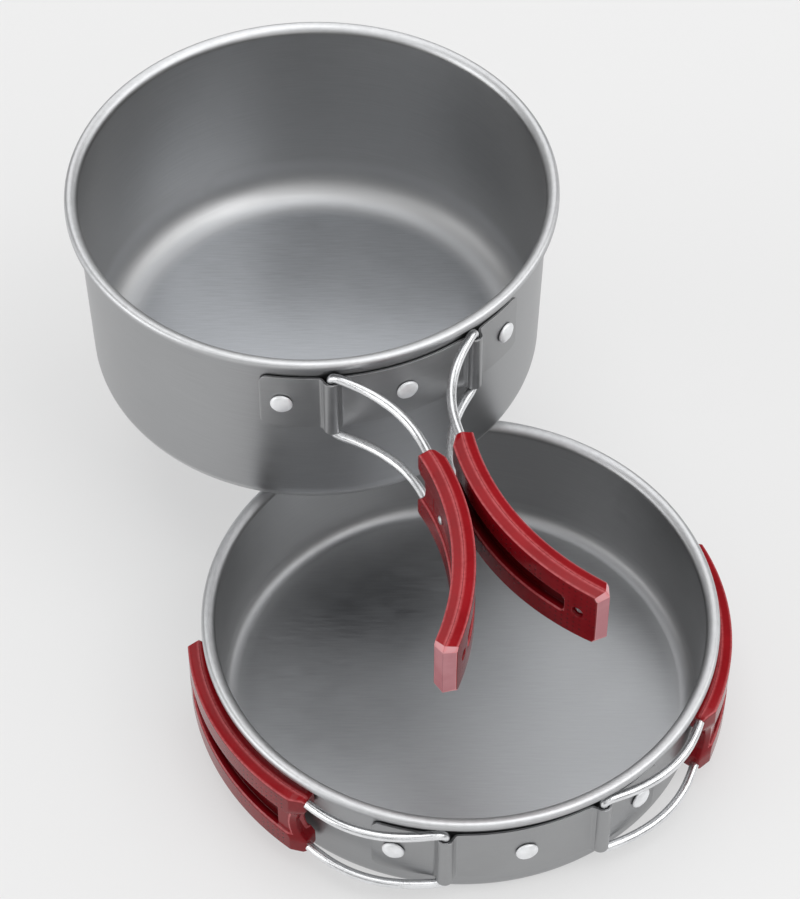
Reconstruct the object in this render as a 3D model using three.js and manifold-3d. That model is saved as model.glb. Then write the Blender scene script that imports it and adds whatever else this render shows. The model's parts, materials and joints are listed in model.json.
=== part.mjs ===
// Camping cook set: a deep pot and a shallow frying pan in sheet aluminium, each with two
// folding wire handles. Millimetres, +Z up. The origin is the middle of the pan's base and
// the pan's handle bracket faces -Y. The pan's handles are folded against its wall. The pot
// stands on the pan's back rim with both of its handles swung out.
import * as THREE from 'three';
import { mergeVertices } from 'three/addons/utils/BufferGeometryUtils.js';
import Module from 'manifold-3d';

const wasm = await Module();
wasm.setup();

const SHEET = 0.9; // thickness of the vessels and of the bracket strips
const GAP = 0.3; // clearance between pieces that touch
const TURN_STEPS = 50; // facets round a vessel

const RIM = { lipWidth: 3.8, flareRadius: 3.2, edgeRadius: 1.5, lipDrop: 2.8 };
const BAND = { height: 24, belowRim: 9.4, halfAngle: 34.8, hingeAngle: 18, rivetAngle: 29.5, cornerRadius: 3.5 };
const RIVET = { shankRadius: 2.0, headRadius: 3.8, headHeight: 1.7, tailRadius: 3.4, tailHeight: 0.9 };
const WIRE = { radius: 1.6, armHeight: 14.2, rootHeight: 12.2, cornerRadius: 2.6, insideGrip: 13 };
const GRIP = {
  rootAngle: 48.9,
  length: 81.5,
  rootHalfHeight: 15.5,
  tipHalfHeight: 11.8,
  halfThickness: 3.85,
  rampLength: 5,
  rampDepth: 2.3,
  ridge: 0.9,
  tipRun: 6,
  tipPoint: 2.4,
  tipChamfer: 1.6,
  webFloor: 2.85,
  slotFloor: 0.9,
  slotStart: 10.5,
  slotEnd: 68,
  slotRootHalf: 5.8,
  slotTipHalf: 3.5,
  notchHalf: 8,
  notchDepth: 4,
  pinAt: 18,
  screwAt: 72.5,
};
const SCREW = { head: 1.7, shank: 1.1, headFrom: 1.2, headTo: 2.6, end: -3.2 };
const PIN = { head: 1.6, shank: 1.0, innerFace: -3.15, outerEnd: 0.7 };

const PAN = {
  name: 'pan',
  height: 45.4,
  wallTop: 84.1,
  wallBottom: 83.0,
  cornerRadius: 6,
  gripRadius: 88.6,
  gripBend: 90,
  gripLean: 0,
  wireBow: 3.0,
  place: [0, 0, 0],
  turn: 0,
  open: { left: 0, right: 0 },
};
const POT = {
  name: 'pot',
  height: 80,
  wallTop: 81.9,
  wallBottom: 80.3,
  cornerRadius: 12.5,
  gripRadius: 86.2,
  gripBend: 93,
  gripLean: 1.7,
  wireBow: 2.0,
  place: [-19.2, 132.6, PAN.height + GAP],
  turn: 9.15,
  open: { left: 142.0, right: 150.4 },
};

const METALS = {
  shell: new THREE.MeshStandardMaterial({ color: 0x8b8c8e, roughness: 0.42, metalness: 0.9 }),
  bracket: new THREE.MeshStandardMaterial({ color: 0x808184, roughness: 0.45, metalness: 0.9 }),
  rivet: new THREE.MeshStandardMaterial({ color: 0xdcdcdd, roughness: 0.35, metalness: 1.0 }),
  wire: new THREE.MeshStandardMaterial({ color: 0xc9cacb, roughness: 0.25, metalness: 1.0 }),
  screw: new THREE.MeshStandardMaterial({ color: 0xb4b5b7, roughness: 0.3, metalness: 1.0 }),
};
const GRIP_PLASTIC = new THREE.MeshStandardMaterial({ color: 0x8f1f24, roughness: 0.25, metalness: 0.0 });

const { degToRad, radToDeg, lerp } = THREE.MathUtils;

// ---- solids -------------------------------------------------------------------------

// A closed geometry as a solid, turned right side out if a mirror has reversed it.
function solidOf(geometry) {
  let bare = geometry.clone();
  bare.deleteAttribute('normal');
  bare.deleteAttribute('uv');
  bare = mergeVertices(bare, 1e-4);
  const corners = bare.attributes.position.array;
  const faces = Uint32Array.from(bare.index.array);
  if (enclosedVolume(corners, faces) < 0) {
    for (let face = 0; face < faces.length; face += 3) {
      [faces[face], faces[face + 1]] = [faces[face + 1], faces[face]];
    }
  }
  const mesh = new wasm.Mesh({ numProp: 3, vertProperties: corners, triVerts: faces });
  return new wasm.Manifold(mesh);
}

function enclosedVolume(corners, faces) {
  const [a, b, c] = [new THREE.Vector3(), new THREE.Vector3(), new THREE.Vector3()];
  let sum = 0;
  for (let face = 0; face < faces.length; face += 3) {
    a.fromArray(corners, 3 * faces[face]);
    b.fromArray(corners, 3 * faces[face + 1]);
    c.fromArray(corners, 3 * faces[face + 2]);
    sum += a.dot(b.cross(c)) / 6;
  }
  return sum;
}

function cut(solid, cutters) {
  return cutters.reduce((rest, cutter) => rest.subtract(cutter), solid);
}

// A bar of four-sided sections, one per station. `place` gives each corner of a section from
// its station and two signs: below or above (-1, 1), and back or front (-1, 1).
function loft(stations, place) {
  const steps = stations.length - 1;
  const bar = new THREE.BoxGeometry(1, 1, 1, steps, 1, 1);
  const corners = bar.attributes.position;
  for (let index = 0; index < corners.count; index += 1) {
    const station = stations[Math.round((corners.getX(index) + 0.5) * steps)];
    const point = place(station, Math.sign(corners.getY(index)), Math.sign(corners.getZ(index)));
    corners.setXYZ(index, point.x, point.y, point.z);
  }
  return solidOf(bar);
}

// Evenly spread values from one number to another, both included.
function spread(from, to, steps) {
  return Array.from({ length: steps + 1 }, (_, step) => lerp(from, to, step / steps));
}

// `sign` -1 gives the mirror image across the vessel's middle plane.
function meshOf(name, solid, material, sign = 1) {
  const { vertProperties, triVerts } = solid.getMesh();
  const geometry = new THREE.BufferGeometry();
  geometry.setAttribute('position', new THREE.BufferAttribute(vertProperties, 3));
  geometry.setIndex(new THREE.BufferAttribute(sign < 0 ? triVerts.reverse() : triVerts, 1));
  geometry.scale(sign, 1, 1);
  geometry.computeVertexNormals();
  const mesh = new THREE.Mesh(geometry, material);
  mesh.name = name;
  return mesh;
}

// ---- places round a vessel ------------------------------------------------------------

// Angles round a vessel start at the middle of its bracket, which faces -Y.
function outward(angle) {
  return new THREE.Vector3(Math.sin(degToRad(angle)), -Math.cos(degToRad(angle)), 0);
}

function around(radius, angle, z) {
  return outward(angle).multiplyScalar(radius).setZ(z);
}

function bandMiddle(vessel) {
  return vessel.height - BAND.belowRim - BAND.height / 2;
}

function wallRadius(vessel, z) {
  const part = (z - vessel.cornerRadius) / (vessel.height - RIM.flareRadius - vessel.cornerRadius);
  return lerp(vessel.wallBottom, vessel.wallTop, part);
}

function bandInnerRadius(vessel) {
  return wallRadius(vessel, vessel.height - BAND.belowRim) + GAP;
}

function hingeRadius(vessel) {
  return bandInnerRadius(vessel) + GAP + WIRE.radius;
}

// ---- shells -----------------------------------------------------------------------------

// Half section of a vessel: outside from the base centre up to the rolled lip, then inside.
function shellSection(vessel) {
  const { height, wallTop, wallBottom, cornerRadius: corner } = vessel;
  const flareStart = height - RIM.flareRadius;
  const lip = wallTop + RIM.lipWidth;
  const quarter = Math.PI / 2;
  const section = new THREE.Path();
  section.moveTo(0, 0);
  section.lineTo(wallBottom - corner, 0);
  section.absarc(wallBottom - corner, corner, corner, -quarter, 0, false);
  section.lineTo(wallTop, flareStart);
  const fold = lip - RIM.edgeRadius;
  section.absarc(fold, flareStart, fold - wallTop, Math.PI, quarter, true);
  section.lineTo(lip - SHEET, height - RIM.lipDrop);
  section.lineTo(lip - 0.2, height - RIM.lipDrop);
  section.lineTo(lip, height - RIM.edgeRadius);
  section.absarc(fold, height - RIM.edgeRadius, RIM.edgeRadius, 0, quarter, false);
  section.absarc(fold, flareStart, RIM.flareRadius, quarter, Math.PI, false);
  section.lineTo(wallBottom - SHEET, corner);
  section.absarc(wallBottom - corner, corner, corner - SHEET, 0, -quarter, true);
  section.lineTo(0, SHEET);
  return section.getPoints(2);
}

function shellSolid(vessel) {
  const turned = new THREE.LatheGeometry(shellSection(vessel), TURN_STEPS);
  turned.rotateX(Math.PI / 2);
  return cut(solidOf(turned), rivetHoles(vessel));
}

// ---- riveted bracket ------------------------------------------------------------------------

const RIVET_NAMES = { left: -BAND.rivetAngle, middle: 0, right: BAND.rivetAngle };

function rivetHoles(vessel) {
  return Object.values(RIVET_NAMES).map((angle) => {
    const hole = new THREE.CylinderGeometry(RIVET.shankRadius + GAP, RIVET.shankRadius + GAP, 12, 12);
    const turn = new THREE.Quaternion().setFromUnitVectors(new THREE.Vector3(0, 1, 0), outward(angle));
    hole.applyQuaternion(turn);
    hole.translate(...around(bandInnerRadius(vessel), angle, bandMiddle(vessel)).toArray());
    return solidOf(hole);
  });
}

// Stations along the strip from its left end to its right end. Each has the angle, the half
// height (less at the rounded corners) and the plan points of the strip's two faces.
function stripStations(vessel) {
  const radius = bandInnerRadius(vessel);
  const bore = WIRE.radius + GAP;
  const onWall = (angle) => ({
    half: BAND.height / 2 - cornerDrop(degToRad(BAND.halfAngle - Math.abs(angle)) * radius),
    back: around(radius, angle, 0),
    face: around(radius + SHEET, angle, 0),
  });
  const onBulge = (angle, side) => {
    const middle = around(hingeRadius(vessel), angle, 0);
    const direction = outward(angle + side);
    return {
      half: BAND.height / 2,
      back: direction.clone().multiplyScalar(bore).add(middle),
      face: direction.clone().multiplyScalar(bore + SHEET).add(middle),
    };
  };
  const bulge = (angle) => spread(-84, 84, 8).map((side) => onBulge(angle, side));
  const edge = BAND.hingeAngle - 2.1;
  const right = [
    ...bulge(BAND.hingeAngle),
    ...spread(BAND.hingeAngle + 2.1, BAND.halfAngle - 2.8, 5).map(onWall),
    ...[1.6, 0.7, 0.15, 0].map((before) => onWall(BAND.halfAngle - before)),
  ];
  const left = [
    ...[0, 0.15, 0.7, 1.6].map((after) => onWall(after - BAND.halfAngle)),
    ...spread(2.8 - BAND.halfAngle, -BAND.hingeAngle - 2.1, 5).map(onWall),
    ...bulge(-BAND.hingeAngle),
  ];
  return [...left, ...spread(-edge, edge, 10).map(onWall), ...right];
}

// How far a rounded corner drops below the straight edge, this far in from the strip's end.
function cornerDrop(inset) {
  const short = Math.max(0, BAND.cornerRadius - inset);
  return BAND.cornerRadius - Math.sqrt(BAND.cornerRadius ** 2 - short ** 2);
}

function bracketSolid(vessel) {
  const block = loft(stripStations(vessel), ({ half, back, face }, up, out) => {
    const point = out > 0 ? face : back;
    return point.clone().setZ(bandMiddle(vessel) + half * up);
  });
  return cut(block, rivetHoles(vessel));
}

// Round head outside, shank through strip and wall, clenched tail inside.
function rivetSolid(vessel) {
  const face = SHEET + GAP;
  const wall = wallRadius(vessel, bandMiddle(vessel)) - SHEET - bandInnerRadius(vessel) - GAP - 0.1;
  const section = new THREE.Path();
  section.moveTo(0, wall - RIVET.tailHeight);
  section.lineTo(RIVET.tailRadius - 0.6, wall - RIVET.tailHeight);
  section.lineTo(RIVET.tailRadius, wall - 0.3);
  section.lineTo(RIVET.tailRadius, wall);
  section.lineTo(RIVET.shankRadius, wall);
  section.lineTo(RIVET.shankRadius, face);
  section.lineTo(RIVET.headRadius, face);
  section.lineTo(RIVET.headRadius, face + 0.5);
  section.quadraticCurveTo(RIVET.headRadius - 0.8, face + RIVET.headHeight, 0, face + RIVET.headHeight);
  return solidOf(new THREE.LatheGeometry(section.getPoints(2), 12));
}

function rivetMeshes(vessel) {
  const solid = rivetSolid(vessel);
  return Object.entries(RIVET_NAMES).map(([place, angle]) => {
    const rivet = meshOf(`${vessel.name}_rivet_${place}`, solid, METALS.rivet);
    rivet.position.copy(around(bandInnerRadius(vessel), angle, bandMiddle(vessel)));
    rivet.quaternion.setFromUnitVectors(new THREE.Vector3(0, 1, 0), outward(angle));
    return rivet;
  });
}

// ---- handles ------------------------------------------------------------------------------

// A handle is modelled folded, at its place beside the vessel, on the +X side. Its flat
// pattern runs along the grip (from the root), up the grip and outward through it, and this
// bends the pattern round the vessel. Thickness falls off at the root. Away from the parting
// line the height falls off, which leaves a low ridge, and so does the length at the tip.
function bendGrip(vessel, along, up, out) {
  const start = GRIP.rootAngle - vessel.gripLean;
  const root = around(vessel.gripRadius, GRIP.rootAngle, bandMiddle(vessel));
  const middle = root.sub(around(vessel.gripBend, start, 0));
  const share = Math.abs(out) / GRIP.halfThickness;
  const short = GRIP.tipPoint * share * Math.max(0, 1 - (GRIP.length - along) / GRIP.tipRun);
  const turn = radToDeg((along - short) / vessel.gripBend);
  const ramp = GRIP.rampDepth * Math.max(0, 1 - along / GRIP.rampLength);
  const depth = out > 0 ? out * (1 - ramp / GRIP.halfThickness) : out;
  const height = up * (1 - (GRIP.ridge * share) / GRIP.rootHalfHeight);
  return around(vessel.gripBend + depth, start + turn, height).add(middle);
}

// Half height of the grip: tapering to the tip, with its corners taken off at both ends.
function halfHeight(along) {
  const taper = lerp(GRIP.rootHalfHeight, GRIP.tipHalfHeight, along / GRIP.length);
  const rootCut = Math.max(0, 1 - along);
  const tipCut = Math.max(0, along - GRIP.length + GRIP.tipChamfer);
  return taper - rootCut - tipCut;
}

// One half of the grip in the solid, between two distances from the parting line.
function gripBlock(vessel, back, front) {
  const { length, rampLength, tipRun, tipChamfer } = GRIP;
  const stations = [0, 1, ...spread(rampLength, length - tipRun, 8), length - tipChamfer, length];
  return loft(stations, (along, up, out) => (
    bendGrip(vessel, along, up * halfHeight(along), out > 0 ? front : back)
  ));
}

// The long sunk web in a broad face, from `start` to the slot's end, cut from `back` to `front`.
function webBlock(vessel, start, end, back, front) {
  const { slotEnd, slotRootHalf, slotTipHalf } = GRIP;
  const half = (along) => lerp(slotRootHalf, slotTipHalf, along / slotEnd);
  const run = spread(start, end - 1, 7).map((along) => [along, half(along)]);
  return loft([...run, [end, half(end) - 1]], ([along, high], up, out) => (
    bendGrip(vessel, along, up * high, out > 0 ? front : back)
  ));
}

// Round bite between the two lobes that hold the arms.
function rootNotch(vessel) {
  const { notchHalf: half, notchDepth: depth } = GRIP;
  const radius = (half ** 2 + depth ** 2) / (2 * depth);
  return throughGrip(vessel, depth - radius, stack([0, -6], [radius, -6], [radius, 6], [0, 6]), 24);
}

// Middle line of the wire in plan and height, from the hinge end to inside the grip.
function armPoint(vessel, part) {
  const angle = lerp(BAND.hingeAngle, GRIP.rootAngle, part);
  const eased = THREE.MathUtils.smoothstep(part, 0, 1);
  const bow = vessel.wireBow * Math.sin(Math.PI * part);
  const radius = lerp(hingeRadius(vessel), vessel.gripRadius, eased) + bow;
  return around(radius, angle, lerp(WIRE.armHeight, WIRE.rootHeight, part));
}

function armPoints(vessel) {
  const points = [];
  for (let part = 0.08; part < 0.95; part += 0.12) {
    points.push(armPoint(vessel, part));
  }
  for (let along = 1; along <= WIRE.insideGrip; along += 4) {
    const up = WIRE.rootHeight * (halfHeight(along) / halfHeight(0));
    points.push(bendGrip(vessel, along, up, 0).setZ(up));
  }
  return points;
}

// The U of wire: lower arm, upright in the bracket, upper arm, with round corners.
function wirePoints(vessel) {
  const arm = armPoints(vessel);
  const hinge = around(hingeRadius(vessel), BAND.hingeAngle, WIRE.armHeight);
  const bend = hinge.clone().setZ(WIRE.armHeight - WIRE.cornerRadius);
  const corner = new THREE.QuadraticBezierCurve3(bend, hinge, arm[0]).getPoints(4).slice(0, -1);
  const upper = [...corner, ...arm];
  const lower = upper.map((point) => point.clone().setZ(-point.z)).reverse();
  return [...lower, ...upper];
}

// A line through given points, one step per point.
class PointLine extends THREE.Curve {
  constructor(points) {
    super();
    this.points = points;
  }

  getPoint(part) {
    const place = part * (this.points.length - 1);
    const from = Math.min(Math.floor(place), this.points.length - 2);
    return this.points[from].clone().lerp(this.points[from + 1], place - from);
  }

  getPointAt(part) {
    return this.getPoint(part);
  }

  getTangentAt(part) {
    return this.getTangent(part);
  }
}

function tubeThrough(vessel, points, radius) {
  const ring = new THREE.Shape();
  ring.absarc(0, 0, radius, 0, 2 * Math.PI, false);
  const round = new THREE.Shape(ring.getSpacedPoints(8).slice(0, -1));
  const tube = new THREE.ExtrudeGeometry(round, {
    steps: points.length - 1,
    extrudePath: new PointLine(points),
    bevelEnabled: false,
  });
  tube.translate(0, 0, bandMiddle(vessel));
  return solidOf(tube);
}

// Clearance round the two arm ends inside the grip.
function wireSockets(vessel) {
  const run = armPoints(vessel).slice(-5);
  const last = run[run.length - 1];
  run.push(last.clone().add(last.clone().sub(run[run.length - 2]).setLength(0.6)));
  return [1, -1].map((sign) => {
    const points = run.map((point) => point.clone().setZ(sign * point.z));
    return tubeThrough(vessel, points, WIRE.radius + GAP);
  });
}

// Round piece set through the grip at `along`, turned about the line that points outward.
function throughGrip(vessel, along, points, sides = 10) {
  const piece = new THREE.LatheGeometry(points, sides);
  const middle = bendGrip(vessel, along, 0, 0);
  const direction = bendGrip(vessel, along, 0, GRIP.halfThickness).sub(middle).normalize();
  piece.applyQuaternion(new THREE.Quaternion().setFromUnitVectors(new THREE.Vector3(0, 1, 0), direction));
  piece.translate(middle.x, middle.y, middle.z);
  return solidOf(piece);
}

function stack(...corners) {
  return corners.map(([radius, out]) => new THREE.Vector2(radius, out));
}

function screwSolid(vessel) {
  const { head, shank, headFrom, headTo, end } = SCREW;
  return throughGrip(vessel, GRIP.screwAt, stack(
    [0, end], [shank, end], [shank, headFrom], [head, headFrom],
    [head, headTo - 0.4], [head - 0.5, headTo], [0, headTo],
  ));
}

function screwHole(vessel) {
  const { head, shank, headFrom, end } = SCREW;
  const seat = headFrom - GAP;
  return throughGrip(vessel, GRIP.screwAt, stack(
    [0, end - GAP], [shank + GAP, end - GAP], [shank + GAP, seat],
    [head + GAP, seat], [head + GAP, 6], [0, 6],
  ));
}

function pinSolid(vessel) {
  const { head, shank, innerFace, outerEnd } = PIN;
  return throughGrip(vessel, GRIP.pinAt, stack(
    [0, innerFace - 0.6], [head - 0.4, innerFace - 0.6], [head, innerFace - 0.3], [head, innerFace],
    [shank, innerFace], [shank, outerEnd], [0, outerEnd],
  ));
}

function pinHole(vessel) {
  const radius = PIN.shank + GAP;
  return throughGrip(vessel, GRIP.pinAt, stack([0, -6], [radius, -6], [radius, 6], [0, 6]));
}

// The outer half has a deep slot beyond its sunk web. The inner half has the web only.
function outerCuts(vessel) {
  const { webFloor, slotFloor, slotStart, slotEnd } = GRIP;
  return [webBlock(vessel, -2, slotStart + 2, webFloor, 6), webBlock(vessel, slotStart, slotEnd, slotFloor, 6)];
}

function gripHalfSolid(vessel, side) {
  const { halfThickness, webFloor, slotEnd } = GRIP;
  const [back, front] = side > 0 ? [GAP / 2, halfThickness] : [-halfThickness, -GAP / 2];
  const block = gripBlock(vessel, back, front);
  const sunk = side > 0 ? outerCuts(vessel) : [webBlock(vessel, -2, slotEnd, -6, -webFloor)];
  return cut(block, [...sunk, rootNotch(vessel), ...wireSockets(vessel), screwHole(vessel), pinHole(vessel)]);
}

function handleSolids(vessel) {
  return {
    wire: [tubeThrough(vessel, wirePoints(vessel), WIRE.radius), METALS.wire],
    grip_inner: [gripHalfSolid(vessel, -1), GRIP_PLASTIC],
    grip_outer: [gripHalfSolid(vessel, 1), GRIP_PLASTIC],
    grip_screw: [screwSolid(vessel), METALS.screw],
    grip_pin: [pinSolid(vessel), METALS.screw],
  };
}

// One handle as a group that turns about its hinge wire; 0 degrees is folded.
function handleGroup(vessel, side, solids) {
  const sign = side === 'left' ? -1 : 1;
  const hinge = around(hingeRadius(vessel), sign * BAND.hingeAngle, 0);
  const group = new THREE.Group();
  group.position.copy(hinge);
  group.rotation.z = degToRad(-sign * vessel.open[side]);
  Object.entries(solids).forEach(([piece, [solid, material]]) => {
    const mesh = meshOf(`${vessel.name}_${side}_${piece}`, solid, material, sign);
    mesh.position.copy(hinge).negate();
    group.add(mesh);
  });
  return group;
}

// ---- the set -------------------------------------------------------------------------------

function vesselGroup(vessel) {
  const group = new THREE.Group();
  group.position.set(...vessel.place);
  group.rotation.z = degToRad(vessel.turn);
  group.add(meshOf(`${vessel.name}_shell`, shellSolid(vessel), METALS.shell));
  group.add(meshOf(`${vessel.name}_bracket`, bracketSolid(vessel), METALS.bracket));
  group.add(...rivetMeshes(vessel));
  const solids = handleSolids(vessel);
  group.add(handleGroup(vessel, 'left', solids));
  group.add(handleGroup(vessel, 'right', solids));
  return group;
}

const cookSet = new THREE.Group();
cookSet.add(vesselGroup(PAN), vesselGroup(POT));

export default cookSet;
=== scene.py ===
"""Looks of the camping cook set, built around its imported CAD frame. Metres, +Z up.

Each vessel is modelled about its own axis with its handle bracket facing -Y, and each handle
folded on the +X side, in millimetres. The pieces are then put where the frame's hinges say.
"""

import json
import math

import bmesh
import bpy
from mathutils import Matrix, Vector, noise

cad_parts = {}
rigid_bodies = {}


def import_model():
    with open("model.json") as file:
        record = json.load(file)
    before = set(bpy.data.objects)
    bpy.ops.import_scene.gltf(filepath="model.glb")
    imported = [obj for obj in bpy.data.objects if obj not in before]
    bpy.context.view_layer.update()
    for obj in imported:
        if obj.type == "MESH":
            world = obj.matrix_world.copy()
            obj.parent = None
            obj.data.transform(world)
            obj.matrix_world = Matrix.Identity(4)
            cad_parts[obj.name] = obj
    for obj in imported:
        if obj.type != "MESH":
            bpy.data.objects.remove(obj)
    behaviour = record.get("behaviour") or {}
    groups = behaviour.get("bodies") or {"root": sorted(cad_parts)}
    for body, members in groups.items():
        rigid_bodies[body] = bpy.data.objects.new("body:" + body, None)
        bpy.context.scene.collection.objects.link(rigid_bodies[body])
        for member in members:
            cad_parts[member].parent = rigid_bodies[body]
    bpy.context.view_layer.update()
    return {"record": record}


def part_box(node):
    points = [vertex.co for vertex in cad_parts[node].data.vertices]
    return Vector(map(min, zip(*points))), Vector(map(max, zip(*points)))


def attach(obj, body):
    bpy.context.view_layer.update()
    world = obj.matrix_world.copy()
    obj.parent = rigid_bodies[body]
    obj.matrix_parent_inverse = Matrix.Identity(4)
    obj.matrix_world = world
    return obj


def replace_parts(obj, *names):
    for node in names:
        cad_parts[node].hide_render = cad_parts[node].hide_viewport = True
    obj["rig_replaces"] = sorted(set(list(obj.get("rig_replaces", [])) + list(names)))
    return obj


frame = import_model()

MM = 0.001

# Sizes in mm and angles in degrees. A rolled lip is a flare out from the wall, then a bead.
SHEET = 0.9
GAP = 0.3
LIP_DROP = 3.2
LIP_REACH = 3.8
BEAD_RADIUS = 1.5
BAND_HEIGHT = 24.0
BAND_BELOW_RIM = 9.4
BAND_HALF_ANGLE = 34.8
BAND_CORNER = 3.5
EDGE_SOFT = 0.22
HINGE_ANGLE = 18.0
RIVETS = {"left": -29.5, "middle": 0.0, "right": 29.5}
RIVET_BEAT = 0.14
WIRE_RADIUS = 1.6
ARM_HEIGHT = 14.2
ARM_ROOT_HEIGHT = 12.2
ARM_CORNER = 2.6
GRIP_ROOT_ANGLE = 48.9
GRIP_LENGTH = 81.5
GRIP_ROOT_HALF = 15.5
GRIP_TIP_HALF = 11.8
GRIP_HALF_THICK = 3.85
GRIP_RIDGE = 0.9
GRIP_RAMP = 5.0
GRIP_RAMP_DEPTH = 2.3
GRIP_TIP_RUN = 6.0
GRIP_TIP_POINT = 2.4
GRIP_TIP_CHAMFER = 1.6
GRIP_EDGE_SOFT = 0.4
WEB_FLOOR, SLOT_FLOOR = 2.85, 0.95
SLOT_START, SLOT_END = 10.5, 68.0
SLOT_ROOT_HALF, SLOT_TIP_HALF = 5.8, 3.5
SLOT_BEVEL = 0.6
SLOT_CORNER = 1.9
NOTCH_RADIUS, NOTCH_CENTRE, NOTCH_RUN = 10.0, -6.0, 8.9
SEAM_GAP = 0.03
PIN_AT, SCREW_AT = 18.0, 72.5
DIMPLE_PITCH = 2.2

# What the grips' "flat" attribute says at the end of the tip, in place of a reach.
END_FACE = 3.0

# The brush lines on the vessels' floors: their direction, and their noise scale along and across.
BRUSH_ANGLE = -14.0
BRUSH_ALONG, BRUSH_ACROSS = 90.0, 1600.0

# Sizes in mm. grip_radius is where a folded grip's root lies, grip_bend is the radius that it is
# curved to, lean turns it in, in degrees, and bow is how far its wire arms bulge out. Then come
# the floor's darkest and lightest grey, set darker on the pan and lighter on the pot as painted
# shade and light, and its blue tint, the inside wall's grey as a share of the outside's, which
# paints shade on the pan's inside wall and light on the pot's, and how strongly a painted
# highlight brightens the inside corner.
VESSELS = {
    "pan": dict(height=45.4, wall_top=84.1, wall_bottom=83.0, corner=6.0,
                grip_radius=88.6, grip_bend=90.0, lean=0.0, bow=3.0,
                # The pan's floor_grey and inside paint shade on its floor and inside wall.
                floor_grey=(0.325, 0.39), floor_tint=0.022, inside=0.84, painted_corner_highlight=0.25),
    "pot": dict(height=80.0, wall_top=81.9, wall_bottom=80.3, corner=12.5,
                grip_radius=86.2, grip_bend=93.0, lean=1.7, bow=2.0,
                # The pot's floor_grey and inside paint light on its floor and inside wall.
                floor_grey=(0.36, 0.475), floor_tint=0.036, inside=1.1, painted_corner_highlight=0.6),
}
WALL_GREY = (0.34, 0.42)
SIDES = {"left": -1, "right": 1}


# ---- where things are ----------------------------------------------------------------------


def lerp(a, b, t):
    return a + (b - a) * t


def clamp01(t):
    return min(1.0, max(0.0, t))


def outward(angle):
    """Unit vector away from a vessel's axis. 0 degrees is the middle of the bracket."""
    return Vector((math.sin(math.radians(angle)), -math.cos(math.radians(angle)), 0.0))


def around(radius, angle, z=0.0):
    point = outward(angle) * radius
    point.z = z
    return point


def band_middle(vessel):
    return vessel["height"] - BAND_BELOW_RIM - BAND_HEIGHT / 2


def wall_radius(vessel, z):
    part = (z - vessel["corner"]) / (vessel["height"] - LIP_DROP - vessel["corner"])
    return lerp(vessel["wall_bottom"], vessel["wall_top"], part)


def band_radius(vessel):
    """Radius of the back of the riveted strip, which just clears the wall at its top edge."""
    return wall_radius(vessel, vessel["height"] - BAND_BELOW_RIM) + GAP


def hinge_radius(vessel):
    return band_radius(vessel) + GAP + WIRE_RADIUS


def joint(name):
    return next(j for j in frame["record"]["behaviour"]["joints"] if j["name"] == name)


def vessel_place(name):
    """Matrix from a vessel's own frame to the row frame, from its shell's box and its hinges."""
    low, high = (Vector(corner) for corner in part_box(f"{name}_shell"))
    centre = (low + high) / 2
    hinges = [Vector(joint(f"{name}_{side}_handle_hinge")["pos_m"]) for side in SIDES]
    middle = (hinges[0] + hinges[1]) / 2 - centre
    turn = math.atan2(middle.x, -middle.y)
    return Matrix.Translation((centre.x, centre.y, low.z)) @ Matrix.Rotation(turn, 4, "Z")


def handle_place(name, side):
    """The same for a handle: turned about its hinge from folded to where it rests."""
    sign = SIDES[side]
    folded_at = joint(f"{name}_{side}_handle_hinge")["range_deg"][0]
    hinge = around(hinge_radius(VESSELS[name]), sign * HINGE_ANGLE) * MM
    swing = Matrix.Rotation(math.radians(sign * folded_at), 4, "Z")
    return vessel_place(name) @ Matrix.Translation(hinge) @ swing @ Matrix.Translation(-hinge)


# ---- meshes --------------------------------------------------------------------------------


def closed_mesh(name, verts, faces, mirror=False, notes=None):
    """A closed mesh from points in mm. `notes` is an attribute's name and a vector for each point."""
    sign = -1 if mirror else 1
    mesh = bpy.data.meshes.new(name)
    points = [(sign * x * MM, y * MM, z * MM) for x, y, z in verts]
    mesh.from_pydata(points, [], [face[::sign] for face in faces])
    if notes:
        mesh.attributes.new(notes[0], "FLOAT_VECTOR", "POINT")
        for kept, note in zip(mesh.attributes[notes[0]].data, notes[1]):
            kept.vector = note
    shape = bmesh.new()
    shape.from_mesh(mesh)
    bmesh.ops.remove_doubles(shape, verts=shape.verts, dist=1e-7)
    bmesh.ops.recalc_face_normals(shape, faces=shape.faces)
    shape.to_mesh(mesh)
    shape.free()
    return mesh


def piece(name, node, body, place, verts, faces, material,
          mirror=False, smooth=32.0, weighted=True, notes=None):
    """A mesh piece that stands for a CAD node. Its points are in mm in the frame `place` is for."""
    mesh = closed_mesh(name, verts, faces, mirror, notes)
    mesh.polygons.foreach_set("use_smooth", [True] * len(mesh.polygons))
    mesh.set_sharp_from_angle(angle=math.radians(smooth))
    mesh.materials.append(material)
    made = bpy.data.objects.new(name, mesh)
    bpy.context.scene.collection.objects.link(made)
    made.matrix_world = place
    if weighted:
        even = made.modifiers.new("even_normals", "WEIGHTED_NORMAL")
        even.keep_sharp = True
    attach(made, body)
    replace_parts(made, node)
    return made


def arc(centre_r, centre_z, radius, start, end, steps):
    """Points of an arc in a half section, from angle start to end in degrees."""
    turns = [math.radians(lerp(start, end, step / steps)) for step in range(steps + 1)]
    return [(centre_r + radius * math.cos(a), centre_z + radius * math.sin(a)) for a in turns]


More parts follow.
